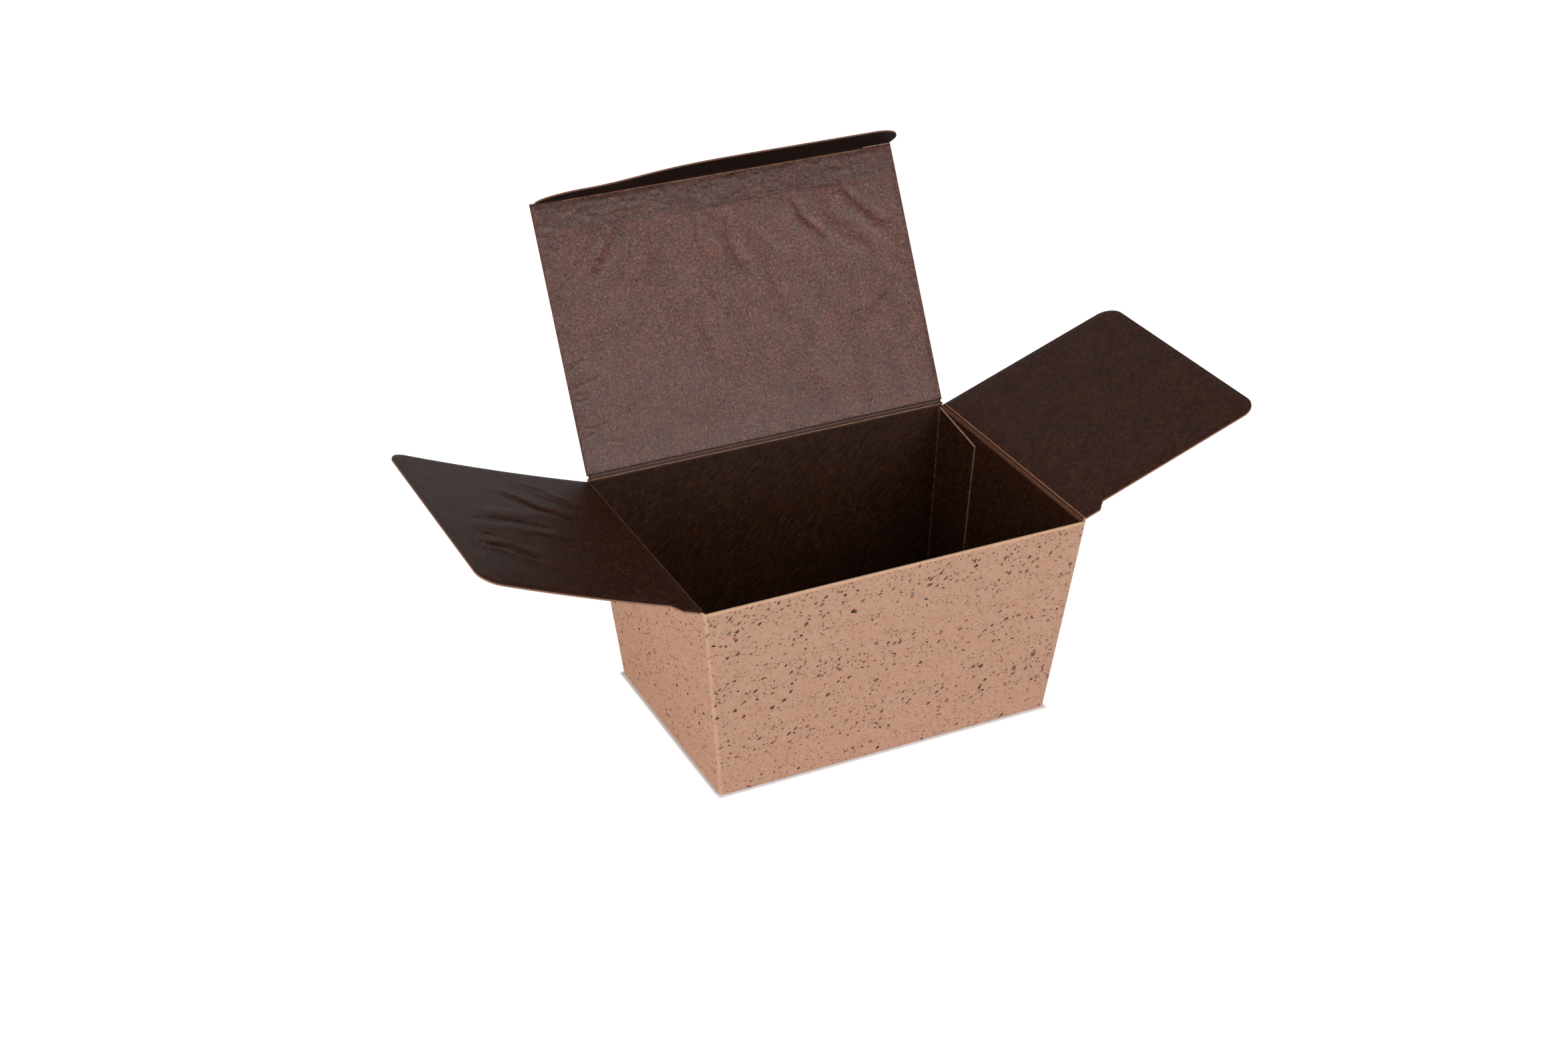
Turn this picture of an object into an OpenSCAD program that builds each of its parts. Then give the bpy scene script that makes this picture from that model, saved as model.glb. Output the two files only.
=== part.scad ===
// Ballotin box: a tapered folding carton of lined kraft board, standing open.
// One blank is creased, folded and glued. The lid, its tuck flap and the two side flaps turn on
// creases. The origin is the middle of the base, Z is up and the front faces -Y.

/* [Sheet] */
// Thickness of the kraft board
board_t = 0.45; // [0.3:0.05:0.6]
// Thickness of the dark lining paper
lining_t = 0.08; // [0.05:0.01:0.12]
// Outside radius of the folds between the walls
fold_r = 0.8; // [0.7:0.05:1.2]

/* [Tray] */
// Width of the rim, outside, left to right
top_w = 113; // [106:0.5:124]
// Depth of the rim, outside, front to back
top_d = 80.5; // [76:0.5:90]
// Width of the base, outside
base_w = 100; // [90:0.5:106]
// Depth of the base, outside
base_d = 68; // [60:0.5:73]
// Height of the crease along the back rim, where the lid turns
back_h = 62; // [50:0.5:76]
// How far the side creases lie below the back crease
side_drop = 1; // [0.9:0.1:1.6]
// How far the cut edge of the front wall lies below the back crease
front_drop = 0.6; // [0.5:0.1:1.2]

/* [Creases] */
// From the line of the lid's crease, or a side crease, to the panel that turns on it
crease_gap = 0.65; // [0.62:0.01:0.9]
// From the line of the tuck flap's crease to the tuck flap
tuck_gap = 0.45; // [0.42:0.01:0.7]
// Radius of the bulge that the creasing left along the rim
bead_r = 0.12; // [0.1:0.01:0.16]
// How far the lining stops short of the line of a crease
lining_short = 0.12; // [0.05:0.01:0.3]

/* [Lid] */
// How far the shut lid's front crease lies behind the front rim
lid_setback = 3.28; // [3.2:0.02:4]
// Gap between each side of the lid and the outside of the tray
lid_side_gap = 0.3; // [0:0.1:1]
// How far the standing lid leans back from upright, in degrees
lid_lean = 27.7; // [0:0.1:60]

/* [Tuck flap] */
// Length of the tuck flap from its crease to its free edge
tuck_l = 16; // [12:0.5:16]
// How far each side of the tuck flap lies inside the lid's side
tuck_side_gap = 1; // [0.5:0.1:3]
// Radius of the tuck flap's two free corners
tuck_corner_r = 11; // [4:0.5:11.5]
// Length of the lock slit at each end of the tuck flap's crease
slit_l = 8.6; // [8.6:0.1:12]
// Width of the lock slit, measured from the crease
slit_w = 2; // [2:0.1:3]
// How far the tuck flap is bent in from the plane of the lid, in degrees
tuck_bend = 87.5; // [0:0.5:93]

/* [Side flaps] */
// Length of the side flaps from their creases to their free edges
flap_l = 60.5; // [40:0.5:60.5]
// Gap between a side flap's back edge and the outside of the back wall
flap_back_gap = 0.95; // [0.9:0.05:1.5]
// Gap between a side flap's front edge and the outside of the front wall
flap_front_gap = 3.9; // [3.9:0.05:6]
// Gap between a flap's shoulder, beside the crease, and the outside of the front wall
shoulder_gap = 1.25; // [1:0.05:2]
// Length of the shoulder along the flap, from the crease
shoulder_l = 5.4; // [3:0.1:5.6]
// Length of the slope between the shoulder and the front edge
shoulder_slope = 2.5; // [1:0.1:2.5]
// Radius of the side flaps' free corners
flap_corner_r = 5.5; // [2:0.5:12]
// Rise of the right flap above level, in degrees
right_rise = 20; // [0:0.5:60]
// Rise of the left flap above level where it leaves its crease, in degrees
left_rise = 19; // [0:0.5:60]
// Radius to which the left flap has curled up
left_curl_r = 700; // [500:10:2000]

/* [Glue flap] */
// Width of the glue flap at the rim, from the back wall
glue_top_w = 21.6; // [14:0.2:30]
// Width of the glue flap at the base, from the back wall
glue_base_w = 18.4; // [12:0.2:26]
// How far the glue flap's top corner, at the back wall, lies below the side crease
glue_drop = 0.5; // [0.5:0.1:2]
// Drop of the slanting cut along the top of the glue flap
glue_top_cut = 3.2; // [1:0.1:10]
// Rise of the slanting cut along the foot of the glue flap
glue_foot_cut = 8; // [2:0.5:14]

/* [Bottom] */
// Width of the seams between the bottom flaps
seam_w = 0.3; // [0.2:0.05:0.6]
// How far the hooked outer seam steps to either side of the middle
seam_jog = 7; // [3:0.5:12]
// Left end of the outer seam's slanting middle
seam_x = 3; // [2:0.5:10]
// Length of the outer seam's slanting middle, left to right
seam_slant = 9; // [6:0.5:16]

/* [Hidden] */
kraft = [0.78, 0.58, 0.46];
dark = [0.24, 0.16, 0.13];
$fn = 32;
sheet_t = board_t + lining_t;
// Level travel of a side wall and of a front or back wall for each unit of height
taper_w = (top_w - base_w) / 2 / back_h;
taper_d = (top_d - base_d) / 2 / back_h;
side_h = back_h - side_drop;
front_h = back_h - front_drop;
// The bottom is two layers of board under its lining
floor_h = 2 * board_t;
// Thickness of the level slices that the tapered solids are stretched between
slice_t = 0.01;
// Room by which a cut runs past the sheet that it cuts
over = 2;
// Lines of the creases that run along the rim, on the outer face of the board
lid_axis_y = half_d(back_h);
flap_axis_x = half_w(side_h);
lid_w = 2 * (half_w(back_h) - lid_side_gap);
lid_l = top_d - lid_setback;
tuck_w = lid_w - 2 * tuck_side_gap;
// Edges of the side flaps, measured from the middle of the box
flap_back = half_d(side_h) - flap_back_gap;
flap_front = half_d(side_h) - flap_front_gap;
shoulder = half_d(side_h) - shoulder_gap;
// Play between a flap's end and the wall beside it, along the crease
end_play = 0.15;

// Half of the outside width at height z
function half_w(z) = base_w / 2 + z * taper_w;

// Half of the outside depth at height z
function half_d(z) = base_d / 2 + z * taper_d;

// Thin level slice of the tray at height z with its sides moved in by inset
module slice(inset, z) {
    r = max(fold_r - inset, 0.05);
    for (sx = [-1, 1], sy = [-1, 1])
        translate([sx * (half_w(z) - inset - r), sy * (half_d(z) - inset - r), z])
            cylinder(r = r, h = slice_t);
}

// Tapered solid with the folds' round corners, from height z0 to height z1
module tapered(inset, z0, z1) {
    hull() {
        slice(inset, z0);
        slice(inset, z1 - slice_t);
    }
}

// Outside of the tray, with the folds along the base rounded too
module tray_outside() {
    hull() {
        for (a = [0 : 22.5 : 90])
            slice_in_base_fold(a);
        slice(0, back_h - slice_t);
    }
}

// Slice at angle a of the quarter round between the base and the walls
module slice_in_base_fold(a) {
    z = fold_r * (1 - cos(a));
    inset = fold_r * (1 - sin(a));
    for (sx = [-1, 1], sy = [-1, 1])
        translate([sx * (half_w(z) - inset - fold_r), sy * (half_d(z) - inset - fold_r), z])
            cylinder(r = fold_r, h = slice_t);
}

// Box over one stretch of the rim, for trimming the walls to their heights
module above(z, x0, x1, y0, y1) {
    translate([x0, y0, z])
        cube([x1 - x0, y1 - y0, over + side_drop]);
}

// Space above the front wall and above the two side creases
module rim_cuts() {
    w = half_w(back_h) + over;
    shoulder_end = -shoulder - end_play;
    above(front_h, -w, w, -half_d(back_h) - over, shoulder_end);
    for (s = [-1, 1])
        above(
            side_h,
            s > 0 ? half_w(side_h) - 2 * sheet_t : -w,
            s > 0 ? w : 2 * sheet_t - half_w(side_h),
            shoulder_end,
            half_d(back_h) - board_t
        );
}

// Leaning layer of the right wall, between two depths below its outside
module right_layer(from_depth, to_depth, z0, z1, length) {
    rotate([90, 0, 0])
        linear_extrude(height = length, center = true)
            polygon([
                [half_w(z0) - from_depth, z0],
                [half_w(z1) - from_depth, z1],
                [half_w(z1) - to_depth, z1],
                [half_w(z0) - to_depth, z0]
            ]);
}

// Outline of the glue flap seen from the side, run through the right wall's layers
module glue_flap_outline(back_inset, edge_inset) {
    z0 = floor_h;
    free_top = half_d(side_h) - glue_top_w + edge_inset;
    free_foot = half_d(z0) - glue_base_w + edge_inset;
    top = side_h - glue_drop - edge_inset;
    translate([half_w(back_h) + over, 0, 0])
        rotate([0, -90, 0])
            linear_extrude(height = 4 * over + 2 * half_w(back_h) * taper_w)
                polygon([
                    [z0, half_d(z0) - back_inset],
                    [top, half_d(top) - back_inset],
                    [top - glue_top_cut, free_top - glue_top_cut * taper_d],
                    [z0 + glue_foot_cut, free_foot],
                    [z0, half_d(z0) - glue_base_w / 2]
                ]);
}

// Slot between the right wall and the folded-in glue flap, open at the back corner
module glue_slot() {
    right_layer(board_t, sheet_t, floor_h, back_h + over, 2 * top_d);
}

// Board of the glue flap, which runs on from the back wall inside the right wall
module glue_flap_board() {
    intersection() {
        right_layer(sheet_t, sheet_t + board_t, 0, back_h, 2 * top_d);
        glue_flap_outline(board_t / 2, 0);
    }
}

// Hooked seam where the two outer bottom flaps meet
module outer_seam() {
    x = [-base_w / 2 + fold_r, seam_x, seam_x + seam_slant, base_w / 2 - fold_r];
    y = [seam_jog, seam_jog, -seam_jog, -seam_jog];
    g = seam_w / 2;
    translate([0, 0, -over])
        linear_extrude(height = over + board_t)
            polygon([
                for (i = [0 : 3]) [x[i], y[i] + g],
                for (i = [3 : -1 : 0]) [x[i], y[i] - g]
            ]);
}

// Straight seam where the two inner bottom flaps meet, cut from z0 upwards
module inner_seam(z0) {
    length = base_d - 2 * board_t - 2 * fold_r;
    translate([-seam_w / 2, -length / 2, z0])
        cube([seam_w, length, over]);
}

// Bulge along the back crease
module back_bead() {
    length = 2 * (half_w(back_h) - sheet_t - end_play);
    translate([-length / 2, lid_axis_y, back_h])
        rotate([0, 90, 0])
            cylinder(r = bead_r, h = length);
}

// Bulge along a side crease
module side_bead(side) {
    translate([side * flap_axis_x, flap_back, side_h])
        rotate([90, 0, 0])
            cylinder(r = bead_r, h = flap_back + shoulder);
}

// Walls, glue flap and bottom: one folded and glued sheet
module tray_board() {
    color(kraft) {
        difference() {
            tray_outside();
            tapered(board_t, floor_h, back_h + over);
            rim_cuts();
            outer_seam();
            inner_seam(board_t);
            intersection() {
                glue_slot();
                translate([0, half_d(back_h) / 2, 0])
                    cube([2 * top_w, half_d(back_h) + over, 3 * back_h], center = true);
            }
        }
        glue_flap_board();
        back_bead();
        for (side = [-1, 1])
            side_bead(side);
    }
}

// Lining of the tray: the inside of the walls, glue flap and bottom
module tray_lining() {
    color(dark)
        difference() {
            union() {
                difference() {
                    tapered(board_t, floor_h, back_h - lining_short);
                    tapered(sheet_t, floor_h + lining_t, back_h + over);
                    inner_seam(floor_h - over / 2);
                }
                intersection() {
                    glue_slot();
                    glue_flap_outline(0, 0);
                }
                intersection() {
                    right_layer(sheet_t + board_t, 2 * sheet_t, 0, back_h, 2 * top_d);
                    glue_flap_outline(board_t + lining_t / 2, lining_short);
                }
            }
            glue_flap_board();
            translate([0, 0, -lining_short])
                rim_cuts();
        }
}

// Flat layer of a panel, between two heights above its crease
module layer(z0, z1) {
    translate([0, 0, z0])
        linear_extrude(height = z1 - z0)
            children();
}

// Moves a panel from its own frame, with its crease along X, to the standing lid
module at_lid() {
    translate([0, lid_axis_y, back_h])
        rotate([90 - lid_lean, 0, 0])
            children();
}

// Moves a panel to the tuck flap's place at the lid's front crease
module at_tuck() {
    at_lid()
        translate([0, lid_l, board_t / 2])
            rotate([tuck_bend, 0, 0])
                children();
}

// Moves a panel to the left side crease, rising by an angle
module at_left(rise) {
    translate([-flap_axis_x, 0, side_h])
        rotate([0, rise, 0])
            rotate([0, 0, 90])
                children();
}

// Moves a panel to the right side crease, rising by an angle
module at_right(rise) {
    mirror([1, 0, 0])
        at_left(rise)
            children();
}

// Outline of the lid from its back crease to its front crease
module lid_outline(short) {
    translate([-lid_w / 2, crease_gap])
        square([lid_w, lid_l - crease_gap - short]);
}

// Lid panel with the rounded board of its front crease
module lid_board() {
    color(kraft)
        at_lid() {
            layer(0, board_t)
                lid_outline(0);
            translate([-lid_w / 2, lid_l, board_t / 2])
                rotate([0, 90, 0])
                    cylinder(d = board_t, h = lid_w);
        }
}

// Lining of the lid
module lid_lining() {
    color(dark)
        at_lid()
            layer(board_t, sheet_t)
                lid_outline(lining_short);
}

// Waste outside a round corner whose square corner would be at (x, y)
module corner_waste(x, y, r) {
    translate([x - r, y - r])
        difference() {
            square(2 * r);
            circle(r = r, $fn = 64);
        }
}

// Outline of the tuck flap, with a lock slit at each end of its crease
module tuck_outline() {
    difference() {
        translate([-tuck_w / 2, tuck_gap])
            square([tuck_w, tuck_l - tuck_gap]);
        for (side = [0, 1])
            mirror([side, 0]) {
                corner_waste(tuck_w / 2, tuck_l, tuck_corner_r);
                translate([tuck_w / 2 - slit_l, 0])
                    square([slit_l + over, slit_w]);
            }
    }
}

// Tuck flap along the lid's front edge
module tuck_flap_board() {
    color(kraft)
        at_tuck()
            layer(-board_t / 2, board_t / 2)
                tuck_outline();
}

// Lining of the tuck flap
module tuck_flap_lining() {
    color(dark)
        at_tuck()
            layer(board_t / 2, board_t / 2 + lining_t)
                tuck_outline();
}

// Outline of a side flap, with its front edge towards -X
module flap_outline() {
    difference() {
        translate([-shoulder, crease_gap])
            square([shoulder + flap_back, flap_l - crease_gap]);
        polygon([
            [-shoulder - over, shoulder_l],
            [-shoulder, shoulder_l],
            [-flap_front, shoulder_l + shoulder_slope],
            [-flap_front, flap_l + over],
            [-shoulder - over, flap_l + over]
        ]);
        corner_waste(flap_back, flap_l, flap_corner_r);
        mirror([1, 0])
            corner_waste(flap_front, flap_l, flap_corner_r);
    }
}

// Curled layer of the left flap, between two distances from the curl's centre
module curled_layer(inner_r, outer_r) {
    intersection() {
        translate([0, 0, -flap_l / 2])
            linear_extrude(height = flap_l)
                children();
        translate([0, 0, left_curl_r])
            rotate([0, 90, 0])
                difference() {
                    cylinder(r = outer_r, h = 2 * top_d, center = true, $fn = 720);
                    cylinder(r = inner_r, h = 3 * top_d, center = true, $fn = 720);
                }
    }
}

// Left side flap, curled up a little along its length
module left_flap_board() {
    color(kraft)
        at_left(left_rise)
            curled_layer(left_curl_r - board_t, left_curl_r)
                flap_outline();
}

// Lining of the left side flap
module left_flap_lining() {
    color(dark)
        at_left(left_rise)
            curled_layer(left_curl_r - sheet_t, left_curl_r - board_t)
                flap_outline();
}

// Right side flap
module right_flap_board() {
    color(kraft)
        at_right(right_rise)
            layer(0, board_t)
                flap_outline();
}

// Lining of the right side flap
module right_flap_lining() {
    color(dark)
        at_right(right_rise)
            layer(board_t, sheet_t)
                flap_outline();
}

tray_board();
tray_lining();
lid_board();
lid_lining();
tuck_flap_board();
tuck_flap_lining();
left_flap_board();
left_flap_lining();
right_flap_board();
right_flap_lining();
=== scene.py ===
"""Open ballotin box of speckled kraft board with a dark lining paper.

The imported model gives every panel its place. This script dresses the boards, lays creased and
wrinkled lining paper over the flat linings, joins the panels across their creases, and sets a
pale floor, soft light and the camera. Lengths in the classes are in millimetres.
"""

import enum
import logging
import math
from dataclasses import dataclass, field

import bpy
import numpy as np
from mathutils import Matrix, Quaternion, Vector

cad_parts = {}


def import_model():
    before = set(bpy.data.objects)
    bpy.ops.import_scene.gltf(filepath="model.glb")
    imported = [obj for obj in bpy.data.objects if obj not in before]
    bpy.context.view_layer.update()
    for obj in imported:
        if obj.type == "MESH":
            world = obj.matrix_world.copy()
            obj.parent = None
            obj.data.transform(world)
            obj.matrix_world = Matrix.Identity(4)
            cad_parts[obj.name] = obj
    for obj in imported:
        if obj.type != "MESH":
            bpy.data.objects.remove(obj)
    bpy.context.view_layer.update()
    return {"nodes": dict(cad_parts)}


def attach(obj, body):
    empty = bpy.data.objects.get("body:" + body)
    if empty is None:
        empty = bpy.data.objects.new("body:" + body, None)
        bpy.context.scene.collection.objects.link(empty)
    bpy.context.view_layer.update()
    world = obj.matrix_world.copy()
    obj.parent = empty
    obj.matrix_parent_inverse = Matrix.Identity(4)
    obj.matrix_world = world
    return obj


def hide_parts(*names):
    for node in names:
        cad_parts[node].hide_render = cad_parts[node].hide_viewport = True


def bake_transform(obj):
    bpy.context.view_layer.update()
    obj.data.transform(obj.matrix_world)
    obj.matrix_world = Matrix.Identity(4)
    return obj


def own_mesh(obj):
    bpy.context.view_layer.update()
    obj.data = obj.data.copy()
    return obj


LOG = logging.getLogger("ballotin")
MM = 0.001
HALF_BASE_W, HALF_BASE_D = 50.0, 34.0
TAPER_W, TAPER_D = 6.5 / 62, 6.25 / 62

Colour = tuple[float, float, float]
Vector3 = tuple[float, float, float]
Socket = bpy.types.NodeSocket
WHITE = (1.0, 1.0, 1.0)


def from_screen(red: float, green: float, blue: float) -> Colour:
    """Scene-linear colour of a screen colour.

    Args:
        red, green, blue: the colour on a screen, each from 0 to 255.

    Returns:
        The linear values: c / 12.92 below 0.04045, and ((c + 0.055) / 1.055) ^ 2.4 above.
    """
    values = []
    for channel in (red, green, blue):
        c = channel / 255
        values.append(c / 12.92 if c <= 0.04045 else ((c + 0.055) / 1.055) ** 2.4)
    return tuple(values)


def unit(vector: np.ndarray) -> np.ndarray:
    """Vector of length 1 in the same direction."""
    vector = np.asarray(vector, float)
    return vector / np.linalg.norm(vector)


class Varying:
    """A number that varies over a surface, with the maths that the finishes use on it."""

    def __init__(self, tree: "NodeTree", socket: Socket) -> None:
        """Wraps one output socket of a tree."""
        self.tree = tree
        self.socket = socket

    def maths(self, operation: str, *others: "Varying | float") -> "Varying":
        """Math node with this value first.

        Args:
            operation: the Math node's operation.
            others: the values of its other sockets.

        Returns:
            The node's value.
        """
        inputs = {i + 1: other for i, other in enumerate(others)}
        node = self.tree.node("ShaderNodeMath", {"operation": operation}, {0: self, **inputs})
        return Varying(self.tree, node.outputs[0])

    def __add__(self, other: "Varying | float") -> "Varying":
        """This plus the other."""
        return self.maths("ADD", other)

    __radd__ = __add__

    def __mul__(self, other: "Varying | float") -> "Varying":
        """This times the other."""
        return self.maths("MULTIPLY", other)

    __rmul__ = __mul__

    def __sub__(self, other: "Varying | float") -> "Varying":
        """This less the other."""
        return self.maths("SUBTRACT", other)

    def __rsub__(self, other: float) -> "Varying":
        """The other less this."""
        return (self * -1.0) + other

    def __truediv__(self, other: "Varying | float") -> "Varying":
        """This divided by the other."""
        return self.maths("DIVIDE", other)

    def size(self) -> "Varying":
        """Distance from zero."""
        return self.maths("ABSOLUTE")

    def at_least(self, other: "Varying | float") -> "Varying":
        """The larger of the two."""
        return self.maths("MAXIMUM", other)

    def over(self, edge: "Varying | float") -> "Varying":
        """1 where this lies over the edge, and 0 elsewhere."""
        return self.maths("GREATER_THAN", edge)

    def ease(self, low: "Varying | float", high: "Varying | float") -> "Varying":
        """Smooth step.

        Args:
            low: the value that gives 0.
            high: the value that gives 1, above or below low.

        Returns:
            The value t * t * (3 - 2 * t) of the share t of the way from low to high.
        """
        node = self.tree.node(
            "ShaderNodeMapRange",
            {"interpolation_type": "SMOOTHSTEP"},
            {"Value": self, "From Min": low, "From Max": high, "To Min": 0.0, "To Max": 1.0},
        )
        return Varying(self.tree, node.outputs["Result"])


class NodeTree:
    """The nodes of one material or world, each made by one method."""

    def __init__(self, owner: bpy.types.Material | bpy.types.World) -> None:
        """Empties the owner's tree and wraps it."""
        owner.use_nodes = True
        self.tree = owner.node_tree
        self.tree.nodes.clear()

    def node(
        self,
        kind: str,
        settings: dict[str, object] | None = None,
        inputs: dict[str | int, object] | None = None,
    ) -> bpy.types.Node:
        """Makes a node.

        Args:
            kind: the node's type.
            settings: its own settings, set first.
            inputs: values or links for its sockets, by name or number.

        Returns:
            The node.
        """
        node = self.tree.nodes.new(kind)
        for name, value in (settings or {}).items():
            setattr(node, name, value)
        for name, value in (inputs or {}).items():
            self._fill(node.inputs[name], value)
        return node

    def _fill(self, socket: Socket, value: object) -> None:
        """Sets a socket to a value, or links it to another socket."""
        if isinstance(value, Varying):
            value = value.socket
        if isinstance(value, Socket):
            self.tree.links.new(value, socket)
        elif socket.type == "RGBA":
            socket.default_value = (*value, 1.0) if len(value) == 3 else value
        else:
            socket.default_value = value

    def value(self, node: bpy.types.Node, output: str | int = 0) -> Varying:
        """One output of a node, for maths."""
        return Varying(self, node.outputs[output])

    def point(self) -> Socket:
        """Place on the object, in millimetres."""
        place = self.node("ShaderNodeTexCoord").outputs["Object"]
        return self.scaled(place, 1 / MM)

    def scaled(self, vector: Socket, factor: float) -> Socket:
        """Vector times a number."""
        inputs = {"Vector": vector, "Scale": factor}
        return self.node("ShaderNodeVectorMath", {"operation": "SCALE"}, inputs).outputs[0]

    def moved(
        self, vector: Socket, by: Vector3 | Socket
    ) -> Socket:
        """Vector plus another."""
        node = self.node("ShaderNodeVectorMath", {"operation": "ADD"}, {0: vector, 1: by})
        return node.outputs[0]

    def along(self, vector: Socket, direction: Vector3) -> Varying:
        """Length of a vector along a direction."""
        inputs = {0: vector, 1: direction}
        node = self.node("ShaderNodeVectorMath", {"operation": "DOT_PRODUCT"}, inputs)
        return self.value(node, "Value")

    def parts(self, vector: Socket) -> tuple[Varying, Varying, Varying]:
        """The three numbers of a vector."""
        node = self.node("ShaderNodeSeparateXYZ", inputs={0: vector})
        return self.value(node, 0), self.value(node, 1), self.value(node, 2)

    def joined(self, *numbers: Varying | float) -> Socket:
        """Vector of three numbers."""
        return self.node("ShaderNodeCombineXYZ", inputs=dict(enumerate(numbers))).outputs[0]

    def noise(
        self, vector: Socket, grain: float, detail: float = 2.0, roughness: float = 0.5
    ) -> Varying:
        """Smooth noise from 0 to 1 whose largest features are a grain across."""
        inputs = {"Vector": vector, "Scale": 1 / grain, "Detail": detail, "Roughness": roughness}
        return self.value(self.node("ShaderNodeTexNoise", {}, inputs), 0)

    def mix(self, share: Varying, first: object, second: object) -> Socket:
        """Colour mixed from two.

        Args:
            share: how much of the second shows, from 0 to 1.
            first, second: colours, or sockets that give them.

        Returns:
            The mixed colour's socket.
        """
        node = self.node(
            "ShaderNodeMix",
            {"data_type": "RGBA", "blend_type": "MIX", "clamp_factor": True},
            {0: share, 6: first, 7: second},
        )
        return node.outputs[2]

    def bump(self, height: Varying, depth: float, strength: float) -> Socket:
        """Normal from a height of 0 to 1 that stands for a depth in millimetres."""
        inputs = {"Height": height, "Distance": depth * MM, "Strength": strength}
        return self.node("ShaderNodeBump", {}, inputs).outputs[0]

    def surface(
        self,
        colour: Socket,
        roughness: Varying | float,
        normal: Socket,
        gloss: float,
    ) -> None:
        """Ends the tree in a surface with a colour, roughness, normal and level of gloss."""
        shader = self.node(
            "ShaderNodeBsdfPrincipled",
            {},
            {
                "Base Color": colour,
                "Roughness": roughness,
                "Normal": normal,
                "Specular IOR Level": gloss,
            },
        )
        self.node("ShaderNodeOutputMaterial", {}, {"Surface": shader.outputs[0]})


@dataclass(frozen=True)
class Speckle:
    """One size of fleck in the board: a random share of the cells of a grid holds one.

    A fleck is stretched along the wall and leans up by its lean for each unit of length.
    """

    spacing: float
    radius: float
    presence: float
    shift: Vector3
    stretch: float
    lean: float
    soft: float = 0.3


class EdgeRule(enum.Enum):
    """How a board knows which of its faces are cut edges."""

    TRAY = "faces that look up, and the free edge of the glue flap"
    PANEL = "faces that look neither to the kraft side nor to the lined side"


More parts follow.
